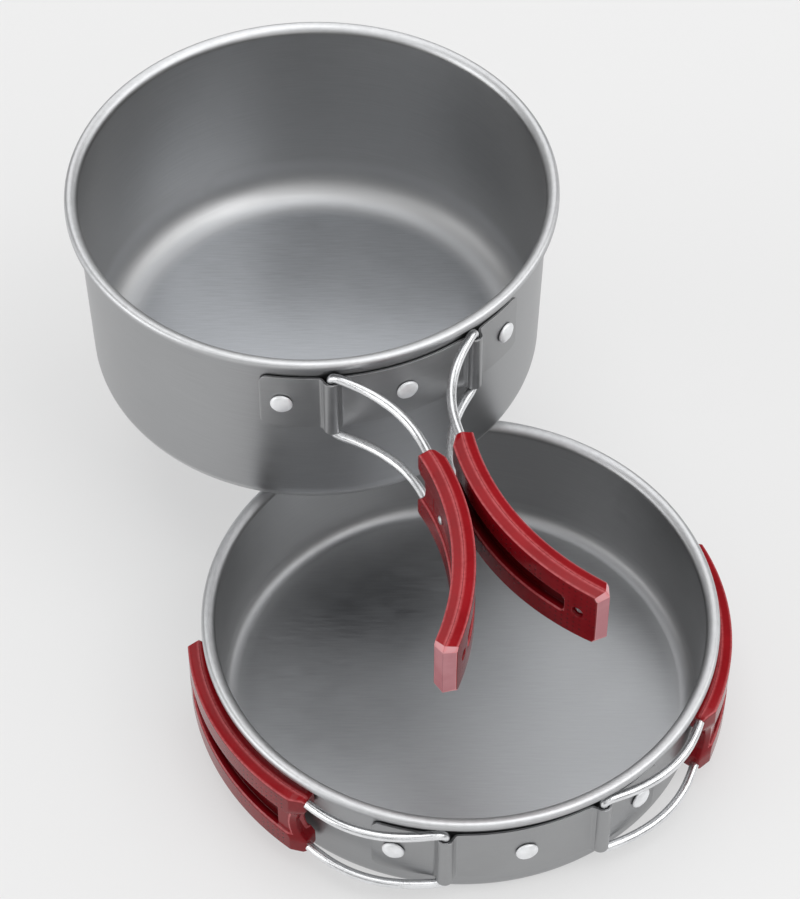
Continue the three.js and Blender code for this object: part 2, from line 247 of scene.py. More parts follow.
def turned(section, steps):
    """Verts and faces of a closed turned solid. The section starts and ends on the axis."""
    rings = section[1:-1]
    verts = [(0.0, 0.0, section[0][1])]
    for radius, z in rings:
        for step in range(steps):
            angle = 2 * math.pi * step / steps
            verts.append((radius * math.cos(angle), radius * math.sin(angle), z))
    verts.append((0.0, 0.0, section[-1][1]))
    last = len(verts) - 1
    faces = []
    for step in range(steps):
        after = (step + 1) % steps
        faces.append((0, 1 + after, 1 + step))
        for ring in range(len(rings) - 1):
            a, b = 1 + ring * steps, 1 + (ring + 1) * steps
            faces.append((a + step, a + after, b + after, b + step))
        top = 1 + (len(rings) - 1) * steps
        faces.append((top + step, top + after, last))
    return verts, faces


def lofted(rings):
    """Verts and faces joining rings of points, each ring with as many points as the next."""
    count = len(rings[0])
    verts = [tuple(point) for ring in rings for point in ring]
    faces = []
    for row in range(len(rings) - 1):
        for column in range(count):
            after = (column + 1) % count
            a, b = row * count, (row + 1) * count
            faces.append((a + column, a + after, b + after, b + column))
    return verts, faces


def capped(rings):
    """The same, with each end closed by strips from one half of its ring to the other."""
    verts, faces = lofted(rings)
    count = len(rings[0])
    for start in (0, len(verts) - count):
        for step in range(count // 2 - 1):
            a, b = start + step, start + step + 1
            c, d = start + count - 2 - step, start + count - 1 - step
            faces.append((a, b, c, d))
    return verts, faces


def smooth_line(points, steps):
    """Points of a Catmull-Rom curve through the given points."""
    line = []
    for index in range(len(points) - 1):
        before = points[max(0, index - 1)]
        a, b = points[index], points[index + 1]
        after = points[min(len(points) - 1, index + 2)]
        for step in range(steps):
            t = step / steps
            line.append(
                0.5 * (2 * a + (b - before) * t + (2 * before - 5 * a + 4 * b - after) * t * t
                       + (3 * a - before - 3 * b + after) * t * t * t)
            )
    line.append(points[-1])
    return line


# ---- vessels -------------------------------------------------------------------------------


def shell_section(vessel):
    """Half section: outside from the base's centre up to the rolled lip, then down the inside."""
    height, corner, top, bottom = (vessel[k] for k in ("height", "corner", "wall_top", "wall_bottom"))
    flare = height - LIP_DROP
    edge = top + LIP_REACH
    bead = edge - BEAD_RADIUS
    ease = [(bottom - corner) * part for part in (0.25, 0.5, 0.75, 0.94)]
    walls = [step / 8 for step in range(1, 8)]
    outside = [(0.0, 0.0)] + [(r, 0.0) for r in ease]
    outside += arc(bottom - corner, corner, corner, -90, 0, 16)
    outside += [(lerp(bottom, top, part), lerp(corner, flare, part)) for part in walls]
    outside += arc(bead, flare, bead - top, 180, 90, 8)
    # The sheet's cut edge, rolled down to hang outside the flare.
    outside += arc(edge - SHEET + 0.05, height - 2.75, 0.12, 225, 315, 3)
    outside += [(edge - 0.08, height - 2.7), (edge, height - 2.2)]
    outside += arc(bead, height - BEAD_RADIUS, BEAD_RADIUS, 0, 90, 8)[1:]
    inside = arc(bead, flare, LIP_DROP, 90, 180, 12)[1:]
    inside += [(lerp(top, bottom, part) - SHEET, lerp(flare, corner, part)) for part in walls]
    inside += arc(bottom - corner, corner, corner - SHEET, 0, -90, 18)
    inside += [(r, SHEET) for r in reversed(ease)] + [(0.0, SHEET)]
    return outside + inside


def add_shell(name, material):
    verts, faces = turned(shell_section(VESSELS[name]), 256)
    piece(f"{name}_body", f"{name}_shell", name, vessel_place(name), verts, faces, material)


# ---- riveted bracket -----------------------------------------------------------------------

# Half plan of the bulge round a hinge wire: distance along the wall, distance out from the
# strip's middle surface. It flares where it leaves the wall.
BULGE = [(4.6, 0.0), (4.1, 0.03), (3.65, 0.16), (3.25, 0.42), (2.93, 0.8), (2.68, 1.25)]


def bulge_points(vessel, angle):
    middle = hinge_radius(vessel)
    strip = band_radius(vessel) + SHEET / 2
    radius = WIRE_RADIUS + GAP + SHEET / 2
    half = [(x, strip + y) for x, y in BULGE]
    for turn in (4, 14, 26, 38, 50, 62, 76, 90):
        a = math.radians(turn)
        half.append((radius * math.cos(a), middle + radius * math.sin(a)))
    full = [(-x, y) for x, y in half] + [(x, y) for x, y in reversed(half[:-1])]
    along, out = outward(angle + 90), outward(angle)
    return [along * x + out * y for x, y in full]


def strip_line(vessel):
    """Plan of the strip's middle surface from its left end to its right end."""
    radius = band_radius(vessel) + SHEET / 2
    gap = math.degrees(4.6 / radius) + 0.6
    end_angles = [BAND_HALF_ANGLE - inset for inset in (0, 0.04, 0.12, 0.3, 0.6, 1.0, 1.5, 2.1, 2.6)]
    outer = [lerp(BAND_HALF_ANGLE - 3.4, HINGE_ANGLE + gap, step / 9) for step in range(10)]
    inner = [lerp(HINGE_ANGLE - gap, 0, step / 12) for step in range(13)]
    left = [around(radius, -angle) for angle in end_angles + outer]
    left += bulge_points(vessel, -HINGE_ANGLE) + [around(radius, -angle) for angle in inner]
    right = [Vector((-point.x, point.y, 0)) for point in reversed(left[:-1])]
    return left + right


def corner_drop(inset):
    short = max(0.0, BAND_CORNER - inset)
    return BAND_CORNER - math.sqrt(BAND_CORNER ** 2 - short ** 2)


def strip_section(half, thick):
    """The strip's cross section as (distance out, height) pairs, with softened edges."""
    soft = EDGE_SOFT
    turns = [math.radians(a) for a in (0, 30, 60, 90)]
    quarter = [(thick - soft + soft * math.sin(a), half - soft + soft * math.cos(a)) for a in turns]
    side = [(thick, half * part) for part in (0.8, 0.4, 0.0, -0.4, -0.8)]
    right = quarter + side + [(x, -z) for x, z in reversed(quarter)]
    return right + [(-x, -z) for x, z in right]


def add_bracket(name, material):
    vessel = VESSELS[name]
    line = strip_line(vessel)
    middle = band_middle(vessel)
    reach = 0.0
    length = sum((b - a).length for a, b in zip(line, line[1:]))
    rings = []
    for index, point in enumerate(line):
        before, after = line[max(0, index - 1)], line[min(len(line) - 1, index + 1)]
        along = (after - before).normalized()
        out = Vector((along.y, -along.x, 0))
        reach += (point - before).length
        inset = min(reach, length - reach)
        half = BAND_HEIGHT / 2 - corner_drop(inset)
        thick = SHEET / 2 - EDGE_SOFT * max(0.0, 1 - inset / 0.25)
        rings.append([
            Vector((point.x + out.x * t, point.y + out.y * t, middle + z))
            for t, z in strip_section(half, thick)
        ])
    verts, faces = capped(rings)
    piece(f"{name}_strap", f"{name}_bracket", name, vessel_place(name), verts, faces, material)


def rivet_section(tail, face):
    """Half section of a rivet: a low tail inside the wall, a shank, and a domed head outside."""
    return [
        (0, tail - 0.9), (1.2, tail - 0.88), (2.3, tail - 0.8), (3.0, tail - 0.6), (3.35, tail - 0.3),
        (3.4, tail - 0.05), (3.3, tail), (2.0, tail), (2.0, face - 0.05), (3.6, face - 0.05),
        (3.78, face + 0.12), (3.8, face + 0.35), (3.66, face + 0.68), (3.3, face + 1.02),
        (2.75, face + 1.3), (2.1, face + 1.5), (1.4, face + 1.62), (0.7, face + 1.68), (0, face + 1.7),
    ]


def add_rivets(name, material):
    """Three rivets, each head beaten a little out of round."""
    vessel = VESSELS[name]
    radius, middle = band_radius(vessel), band_middle(vessel)
    face = SHEET + GAP
    tail = wall_radius(vessel, middle) - SHEET - radius - 0.4
    verts, faces = turned(rivet_section(tail, face), 40)
    for index, (side, angle) in enumerate(RIVETS.items()):
        out = outward(angle)
        base = around(radius, angle, middle)
        turn = Vector((0, 0, 1)).rotation_difference(out)
        shaped = []
        for x, y, z in verts:
            beat = noise.noise(Vector((x, y, 7.0 * index + 1.3)) * 0.42) if z > face else 0.0
            shaped.append(base + turn @ Vector((x * (1 + 0.02 * beat), y, z + RIVET_BEAT * beat)))
        piece(f"{name}_rivet_head_{side}", f"{name}_rivet_{side}", name,
              vessel_place(name), shaped, faces, material)


# ---- handles -------------------------------------------------------------------------------


def grip_point(vessel, along, up, out):
    """A point of the folded grip: distance from its root, height, and distance out from its seam."""
    start = GRIP_ROOT_ANGLE - vessel["lean"]
    middle = around(vessel["grip_radius"], GRIP_ROOT_ANGLE) - outward(start) * vessel["grip_bend"]
    turn = math.degrees(along / vessel["grip_bend"])
    point = middle + outward(start + turn) * (vessel["grip_bend"] + out)
    point.z = band_middle(vessel) + up
    return point


def grip_half_height(along):
    """Half the grip's height, tapered to the tip and chamfered at both ends."""
    taper = lerp(GRIP_ROOT_HALF, GRIP_TIP_HALF, along / GRIP_LENGTH)
    return taper - max(0.0, 1.0 - along) - max(0.0, along - GRIP_LENGTH + GRIP_TIP_CHAMFER)


def wire_line(vessel):
    """Middle line of the wire, up its leg and along its upper arm into the grip, in 3D."""
    hinge = hinge_radius(vessel)
    arm = []
    for step in range(8):
        part = 0.08 + 0.12 * step
        eased = part * part * (3 - 2 * part)
        radius = lerp(hinge, vessel["grip_radius"], eased) + vessel["bow"] * math.sin(math.pi * part)
        angle = lerp(HINGE_ANGLE, GRIP_ROOT_ANGLE, part)
        arm.append(around(radius, angle, lerp(ARM_HEIGHT, ARM_ROOT_HEIGHT, part)))
    for along in (1, 5, 9, 13):
        up = ARM_ROOT_HEIGHT * grip_half_height(along) / grip_half_height(1)
        point = grip_point(vessel, along, up, 0)
        arm.append(Vector((point.x, point.y, up)))
    top = around(hinge, HINGE_ANGLE, ARM_HEIGHT)
    bend = around(hinge, HINGE_ANGLE, ARM_HEIGHT - ARM_CORNER)
    corner = []
    for step in range(10):
        t = step / 10
        corner.append(bend * (1 - t) ** 2 + top * 2 * t * (1 - t) + arm[0] * t * t)
    leg = [around(hinge, HINGE_ANGLE, z) for z in (0, 3, 6, 9)]
    return leg + corner + smooth_line(arm, 5)


def add_wire(name, side, material):
    """The bent wire. Its "run" attribute is a measure along it, then the cosine and sine of the
    direction round it."""
    vessel = VESSELS[name]
    upper = wire_line(vessel)
    line = [Vector((p.x, p.y, -p.z)) for p in reversed(upper[1:])] + upper
    middle = Vector((0, 0, band_middle(vessel)))
    sides, rings_per_run = 20, 60
    turns = [2 * math.pi * step / sides for step in range(sides)]
    rings = []
    across = None
    for index, point in enumerate(line):
        before, after = line[max(0, index - 1)], line[min(len(line) - 1, index + 1)]
        along = (after - before).normalized()
        if across is None:
            across = along.orthogonal().normalized()
        across = (across - along * across.dot(along)).normalized()
        third = along.cross(across)
        rings.append([
            point + middle + (across * math.cos(turn) + third * math.sin(turn)) * WIRE_RADIUS
            for turn in turns
        ])
    verts, faces = lofted(rings)
    faces += [tuple(range(sides)), tuple(range(len(verts) - sides, len(verts)))]
    runs = [(row / rings_per_run, math.cos(turn), math.sin(turn))
            for row in range(len(line)) for turn in turns]
    piece(f"{name}_{side}_handle_wire", f"{name}_{side}_wire", f"{name}_{side}_handle",
          handle_place(name, side), verts, faces, material, mirror=side == "left", notes=("run", runs))


def stepped(place, steps):
    """The height at a place, read off a list of (place, height) steps, straight between them."""
    if place <= steps[0][0]:
        return steps[0][1]
    for (a, low), (b, high) in zip(steps, steps[1:]):
        if place < b:
            return lerp(low, high, (place - a) / (b - a))
    return steps[-1][1]


def sunk_depth(along, face, side):
    """How far the middle of a broad face is sunk: a web at the root, then the outer half's slot."""
    web = max(0.0, face - WEB_FLOOR)
    full = max(0.0, face - SLOT_FLOOR) if side > 0 else web
    bevel = min(SLOT_BEVEL, full)
    start, end = SLOT_START, SLOT_END
    at_start = [(start - 0.1, web), (start, web + 0.08), (start + 0.12, full - 0.12), (start + 0.3, full)]
    at_end = [(end - 0.95, full), (end - 0.8, full - 0.12), (end - 0.66, bevel + 0.05),
              (end - 0.58, bevel - 0.05), (end - 0.06, 0.06), (end + 0.1, 0.0)]
    return min(stepped(along, at_start), stepped(along, at_end))


def grip_columns(along, face, side, inset):
    """Half cross section of a grip half as (up, out) pairs from the middle to the seam's ridge."""
    ridge = grip_half_height(along) - inset
    edge = ridge * (1 - GRIP_RIDGE / GRIP_ROOT_HALF)
    deep = sunk_depth(along, face, side)
    wide = lerp(SLOT_ROOT_HALF, SLOT_TIP_HALF, along / SLOT_END)
    near_end = clamp01(along - SLOT_END + SLOT_CORNER)
    wide -= 1.0 - math.sqrt(1.0 - near_end ** 2)
    bevel = SLOT_BEVEL
    hollow = [(0.0, deep), (wide * 0.55, deep), (wide - 0.5, deep), (wide - 0.3, deep - 0.05),
              (wide - 0.2, deep - 0.16), (wide - 0.02, bevel + 0.08), (wide + 0.04, bevel - 0.05),
              (wide + bevel * 0.5, bevel * 0.46), (wide + bevel - 0.06, 0.05), (wide + bevel + 0.14, 0.0)]
    rows = [(up, face - min(deep, max(0.0, sink))) for up, sink in hollow]
    flat_start = rows[-1][0]
    soft = 0.5
    rows += [(lerp(flat_start, edge - soft, part), face) for part in (0.2, 0.4, 0.6, 0.8)]
    rows += [(edge - soft, face), (edge - soft * 0.5, face - soft * 0.07),
             (edge - soft * 0.14, face - soft * 0.28), (edge + 0.05, face - soft * 0.72)]
    rows += [(lerp(edge, ridge, part), lerp(face, 0.14, part)) for part in (0.35, 0.7, 0.95)]
    rows += [(ridge - 0.01, 0.12), (ridge - 0.07, 0.04)]
    return rows


# Distances from the root at which a grip's section is drawn, closer together at each edge.
GRIP_STATIONS = (
    [0.0, 0.05, 0.15, 0.35, 0.65, 0.95, 1.15, 1.7, 2.4, 2.8, 3.0, 3.8, 4.6, 4.9, 5.1, 5.6, 6.6, 7.8, 9.2]
    + [10.1, 10.38, 10.46, 10.52, 10.64, 10.82, 11.2, 12.0, 13.2, 14.6]
    + [16.0 + 1.6 * step for step in range(31)]
    + [65.2, 66.0, 66.3, 66.6, 66.85, 67.05, 67.2, 67.34, 67.42, 67.6, 67.8, 67.94, 68.1, 68.6]
    + [69.4, 70.2, 71.0, 71.8, 72.6, 73.4, 74.2, 75.0, 75.4, 75.7, 76.6, 77.5, 78.4, 79.2]
    + [79.65, 79.85, 79.95, 80.1, 80.4, 80.7, 81.0, 81.2, 81.34, 81.44, 81.5]
)


def grip_half(vessel, side):
    """Rings of one half of a grip, and a note for each point: how far it is along and up the grip,
    and its reach. That is 1 at the long edges, END_FACE at the tip's end, and minus the depth
    where the face is sunk."""
    rings, flats = [], []
    for along in GRIP_STATIONS:
        near = min(along, GRIP_LENGTH - along)
        soft = GRIP_EDGE_SOFT
        inset = soft - math.sqrt(max(0.0, soft ** 2 - (soft - near) ** 2)) if near < soft else 0.0
        ramp = GRIP_RAMP_DEPTH * max(0.0, 1 - along / GRIP_RAMP) if side > 0 else 0.0
        face = GRIP_HALF_THICK - ramp - inset * 0.8
        half = grip_columns(along, face, side, inset)
        outer = [(-up, out) for up, out in reversed(half)] + half[1:]
        back = [(up, SEAM_GAP) for up, out in reversed(outer)]
        ring = []
        for up, out in outer + back:
            bite = max(0.0, NOTCH_CENTRE + math.sqrt(max(0.0, NOTCH_RADIUS ** 2 - up ** 2)))
            place = along + bite * max(0.0, 1 - along / NOTCH_RUN)
            short = GRIP_TIP_POINT * out / GRIP_HALF_THICK
            place -= short * clamp01(1 - (GRIP_LENGTH - along) / GRIP_TIP_RUN)
            ring.append(grip_point(vessel, place, up, side * out))
            edge = grip_half_height(along) * (1 - GRIP_RIDGE / GRIP_ROOT_HALF)
            sunk = face - out if abs(up) < edge - 1 and out > 0.5 else 0.0
            reach = END_FACE if along == GRIP_LENGTH else abs(up) / edge
            flats.append((along, up, -sunk if sunk > 0.01 else reach))
        rings.append(ring)
    return rings, flats


def drill(made, verts, faces):
    """Cuts a hole, given as a closed tool, out of a piece."""
    tool = bpy.data.objects.new("tool", closed_mesh("tool", verts, faces))
    bpy.context.scene.collection.objects.link(tool)
    tool.matrix_world = made.matrix_world
    hole = made.modifiers.new("hole", "BOOLEAN")
    hole.object = tool
    hole.operation = "DIFFERENCE"
    hole.solver = "EXACT"
    bpy.context.view_layer.update()
    seen = made.evaluated_get(bpy.context.evaluated_depsgraph_get())
    made.data = bpy.data.meshes.new_from_object(seen)
    made.modifiers.remove(hole)
    bpy.data.objects.remove(tool)


def set_through(vessel, along, section, steps):
    """A small turned shape set through the grip, turned about the line that points outward."""
    verts, faces = turned(section, steps)
    base = grip_point(vessel, along, 0, 0)
    out = (grip_point(vessel, along, 0, 1) - base).normalized()
    turn = Vector((0, 0, 1)).rotation_difference(out)
    return [base + turn @ Vector(vert) for vert in verts], faces


def add_grip_half(name, side, half, material):
    """One half of a grip. It is always cut as a right-hand one, then mirrored for the left."""
    vessel = VESSELS[name]
    rings, flats = grip_half(vessel, 1 if half == "outer" else -1)
    verts, faces = capped(rings)
    made = piece(f"{name}_{side}_handle_{half}", f"{name}_{side}_grip_{half}", f"{name}_{side}_handle",
                 handle_place(name, side), verts, faces, material,
                 smooth=38, weighted=False, notes=("flat", flats))
    if half == "outer":
        drill(made, *set_through(vessel, SCREW_AT, SEAT, 32))
    if side == "left":
        made.data.transform(Matrix.Scale(-1, 4, (1, 0, 0)))
        made.data.flip_normals()
    made.modifiers.new("even_normals", "WEIGHTED_NORMAL").keep_sharp = True


# Half sections of the tip screw, its seat in the outer half, and the root pin, as (radius,
# distance out from the grip's seam) pairs.
SCREW = [(0, 0.2), (1.1, 0.2), (1.1, 1.15), (1.55, 1.15), (1.66, 1.25), (1.66, 2.2), (1.56, 2.42),
         (1.3, 2.55), (0.75, 2.62), (0.68, 2.57), (0.6, 1.8), (0.3, 1.65), (0, 1.6)]
SEAT = [(0, 1.0), (2.0, 1.0), (2.0, 3.5), (2.12, 3.72), (2.3, 3.9), (2.3, 6.0), (0, 6.0)]
PIN = [(0, -3.72), (0.7, -3.7), (1.2, -3.6), (1.5, -3.4), (1.6, -3.15), (1.58, -2.95), (1.0, -2.9),
       (1.0, 0.6), (0.9, 0.7), (0, 0.7)]


def add_fitting(name, side, node, label, along, section, material):
    """A screw or pin set through the grip."""
    placed, faces = set_through(VESSELS[name], along, section, 24)
    piece(f"{name}_{side}_handle_{label}", f"{name}_{side}_{node}", f"{name}_{side}_handle",
          handle_place(name, side), placed, faces, material, mirror=side == "left")


# ---- materials -----------------------------------------------------------------------------


class Finish:
    """A material's node tree, with short ways to add what these finishes need."""

    def __init__(self, name, **constants):
        self.material = bpy.data.materials.new(name)
        self.material.use_nodes = True
        self.tree = self.material.node_tree
        self.shader = self.tree.nodes["Principled BSDF"]
        for socket, value in constants.items():
            self.shader.inputs[socket.replace("_", " ")].default_value = value
        self.point = self.add("TexCoord").outputs["Object"]

    def add(self, kind, inputs=(), **settings):
        node = self.tree.nodes.new(f"ShaderNode{kind}")
        for key, value in settings.items():
            setattr(node, key, value)
        for key, value in dict(inputs).items():
            if isinstance(value, bpy.types.NodeSocket):
                self.tree.links.new(value, node.inputs[key])
            else:
                node.inputs[key].default_value = value
        return node

    def math(self, operation, a, b=0.0, clamp=False):
        return self.add("Math", {0: a, 1: b}, operation=operation, use_clamp=clamp).outputs[0]

    def ramp(self, value, low, high, to_low=0.0, to_high=1.0):
        inputs = {"Value": value, "From Min": low, "From Max": high, "To Min": to_low, "To Max": to_high}
        return self.add("MapRange", inputs, interpolation_type="SMOOTHSTEP").outputs["Result"]

    def split(self, vector):
        parts = self.add("SeparateXYZ", {0: vector})
        return parts.outputs[0], parts.outputs[1], parts.outputs[2]

    def join(self, x, y, z):
        return self.add("CombineXYZ", {0: x, 1: y, 2: z}).outputs[0]

    def noise(self, vector, scale, detail=2.0, rough=0.5):
        inputs = {"Vector": vector, "Scale": scale, "Detail": detail, "Roughness": rough}
        return self.add("TexNoise", inputs).outputs["Fac"]

    def blend(self, share, a, b):
        mix = self.add("Mix", data_type="RGBA")
        for key, value in ((0, share), (6, a), (7, b)):
            if isinstance(value, bpy.types.NodeSocket):
                self.tree.links.new(value, mix.inputs[key])
            else:
                mix.inputs[key].default_value = value
        return mix.outputs[2]

    def paint(self, colour, roughness, height=None, depth=0.00002, strength=0.5):
        self.tree.links.new(colour, self.shader.inputs["Base Color"])
        self.tree.links.new(roughness, self.shader.inputs["Roughness"])
        if height is not None:
            bump = self.add("Bump", {"Strength": strength, "Distance": depth, "Height": height})
            self.tree.links.new(bump.outputs["Normal"], self.shader.inputs["Normal"])
        return self.material


def grey(value, blue=0.0):
    return (value * (1 - blue), value, value * (1 + blue * 1.6), 1.0)


def spun_metal(name, vessel):
    """Hard-anodised sheet: straight brush lines on the floor, turned lines round the wall, a painted
    highlight in the inside corner, and the rim's crest paler, partly from wear and partly as a
    painted highlight. The inside wall and the floor carry painted light and shade per vessel."""
    f = Finish(name, Metallic=1.0)
    x, y, z = f.split(f.point)
    radius = f.math("SQRT", f.math("ADD", f.math("MULTIPLY", x, x), f.math("MULTIPLY", y, y)))
    around_x, around_y = (f.math("DIVIDE", part, f.math("MAXIMUM", radius, 0.001)) for part in (x, y))
    floor_end = (vessel["wall_bottom"] - vessel["corner"] * 0.75) * MM
    on_wall = f.ramp(radius, floor_end, floor_end + 0.004)
    grain_x, grain_y = math.cos(math.radians(BRUSH_ANGLE)), math.sin(math.radians(BRUSH_ANGLE))
    along = f.math("ADD", f.math("MULTIPLY", x, grain_x * BRUSH_ALONG),
                   f.math("MULTIPLY", y, grain_y * BRUSH_ALONG))
    across = f.math("ADD", f.math("MULTIPLY", x, -grain_y * BRUSH_ACROSS),
                    f.math("MULTIPLY", y, grain_x * BRUSH_ACROSS))
    straight = f.noise(f.join(along, across, 0.0), 1.0, 3.0, 0.6)
    round_about = f.noise(f.join(f.math("MULTIPLY", around_x, 5.0), f.math("MULTIPLY", around_y, 5.0),
                                 f.math("MULTIPLY", z, 3000.0)), 1.0, 3.0, 0.6)
    lines = f.ramp(f.math("ADD", f.math("MULTIPLY", f.math("SUBTRACT", 1.0, on_wall), straight),
                          f.math("MULTIPLY", on_wall, round_about)), 0.25, 0.75)
    cloud = f.ramp(f.noise(f.point, 16.0, 4.0, 0.55), 0.3, 0.7)
    grain = f.noise(f.point, 2600.0, 2.0)
    shade = f.math("ADD", f.math("MULTIPLY", cloud, 0.3),
                   f.math("ADD", f.math("MULTIPLY", lines, 0.5), f.math("MULTIPLY", grain, 0.2)))
    rise = vessel["height"] - LIP_DROP - vessel["corner"]
    slope = (vessel["wall_top"] - vessel["wall_bottom"]) / rise
    middle = f.math("ADD", f.math("MULTIPLY", z, slope),
                    (vessel["wall_bottom"] - vessel["corner"] * slope - SHEET / 2) * MM)
    inner = f.ramp(f.math("SUBTRACT", radius, middle), -0.0002, 0.0002, 1.0, 0.0)
    dark, light = WALL_GREY
    inside = vessel["inside"]
    outer_wall = f.blend(shade, grey(dark, 0.012), grey(light, 0.012))
    # Painted light and shade: the inside wall is the outside's grey scaled up on the pot and down on the
    # pan.
    inner_wall = f.blend(shade, grey(dark * inside), grey(light * inside))
    # The floor's grey is the metal's tone, set darker on the pan and lighter on the pot as painted shade
    # and light.
    dark, light = vessel["floor_grey"]
    tint = vessel["floor_tint"]
    floor = f.blend(shade, grey(dark, tint), grey(light, tint))
    colour = f.blend(on_wall, floor, f.blend(inner, outer_wall, inner_wall))
    bend = (vessel["wall_bottom"] - vessel["corner"]) * MM
    # Painted highlight: the inside corner is lightened towards pale grey, which widens the lamps'
    # highlight there.
    corner = f.math("MULTIPLY", f.ramp(radius, bend - 0.004, bend + 0.002),
                    f.ramp(z, vessel["corner"] * MM, vessel["corner"] * MM * 1.5, 1.0, 0.0))
    corner = f.math("MULTIPLY", corner, inner)
    colour = f.blend(f.math("MULTIPLY", corner, vessel["painted_corner_highlight"]), colour, grey(0.60, 0.01))
    # The rim's crest is painted paler, partly as wear and partly as a painted highlight along the bead.
    crest = f.ramp(z, (vessel["height"] - 2.6) * MM, (vessel["height"] - 0.2) * MM)
    rim_wear_and_highlight = f.math("MULTIPLY", crest, f.ramp(f.noise(f.point, 400.0, 4.0), 0.3, 0.7, 0.85, 1.0))
    colour = f.blend(rim_wear_and_highlight, colour, grey(0.67, 0.01))
    roughness = f.math("ADD", f.ramp(lines, 0.0, 1.0, 0.34, 0.40), f.ramp(cloud, 0.0, 1.0, -0.02, 0.04))
    roughness = f.math("ADD", roughness, f.math("MULTIPLY", f.math("ADD", crest, corner), 0.11))
    height = f.math("ADD", lines, f.math("MULTIPLY", grain, 0.7))
    return f.paint(colour, roughness, height, 0.000006, 0.5)


def strap_metal(name):
    """The bracket's rolled strip: lines along the strip, with cloudy and grainy tone."""
    f = Finish(name, Metallic=1.0)
    x, y, z = f.split(f.point)
    lines = f.ramp(f.noise(f.join(f.math("MULTIPLY", x, 60.0), f.math("MULTIPLY", y, 60.0),
                                  f.math("MULTIPLY", z, 2600.0)), 1.0, 3.0, 0.6), 0.3, 0.7)
    cloud = f.ramp(f.noise(f.point, 40.0, 4.0), 0.3, 0.7)
    grain = f.noise(f.point, 2600.0, 2.0)
    shade = f.math("ADD", f.math("MULTIPLY", cloud, 0.45),
                   f.math("ADD", f.math("MULTIPLY", lines, 0.3), f.math("MULTIPLY", grain, 0.25)))
    colour = f.blend(shade, grey(0.32, 0.01), grey(0.40, 0.01))
    roughness = f.math("ADD", f.ramp(lines, 0.0, 1.0, 0.36, 0.44), f.ramp(cloud, 0.0, 1.0, -0.03, 0.04))
    return f.paint(colour, roughness, f.math("ADD", lines, grain), 0.00001, 0.6)


def bright_metal(name, value, rough, grain_scale, depth, metallic=1.0):
    """Plain bright metal with small dents, smears and pits: rivets, screws and pins."""
    f = Finish(name, Metallic=metallic)
    smear = f.ramp(f.noise(f.point, 220.0, 3.0), 0.3, 0.7)
    grain = f.noise(f.point, grain_scale, 3.0)
    colour = f.blend(smear, grey(value * 0.86, 0.01), grey(value, 0.01))
    roughness = f.math("ADD", f.ramp(smear, 0.0, 1.0, rough - 0.05, rough + 0.07),
                       f.math("MULTIPLY", grain, 0.06))
    return f.paint(colour, roughness, f.math("ADD", smear, grain), depth, 0.7)


def drawn_wire(name):
    """Polished stainless wire with drawing lines along it, from the wire's own run attribute."""
    f = Finish(name, Metallic=1.0)
    run = f.add("Attribute", attribute_name="run").outputs["Vector"]
    along, cosine, sine = f.split(run)
    streak = f.ramp(f.noise(f.join(f.math("MULTIPLY", along, 25.0), f.math("MULTIPLY", cosine, 9.0),
                                   f.math("MULTIPLY", sine, 9.0)), 1.0, 4.0, 0.65), 0.3, 0.7)
    smear = f.ramp(f.noise(f.point, 120.0, 3.0), 0.3, 0.7)
    both = f.math("MULTIPLY", f.math("ADD", streak, smear), 0.5)
    colour = f.blend(both, grey(0.72, 0.01), grey(0.9, 0.01))
    roughness = f.math("ADD", f.ramp(streak, 0.0, 1.0, 0.2, 0.32), f.ramp(smear, 0.0, 1.0, 0.0, 0.06))
    return f.paint(colour, roughness, streak, 0.00001, 0.5)


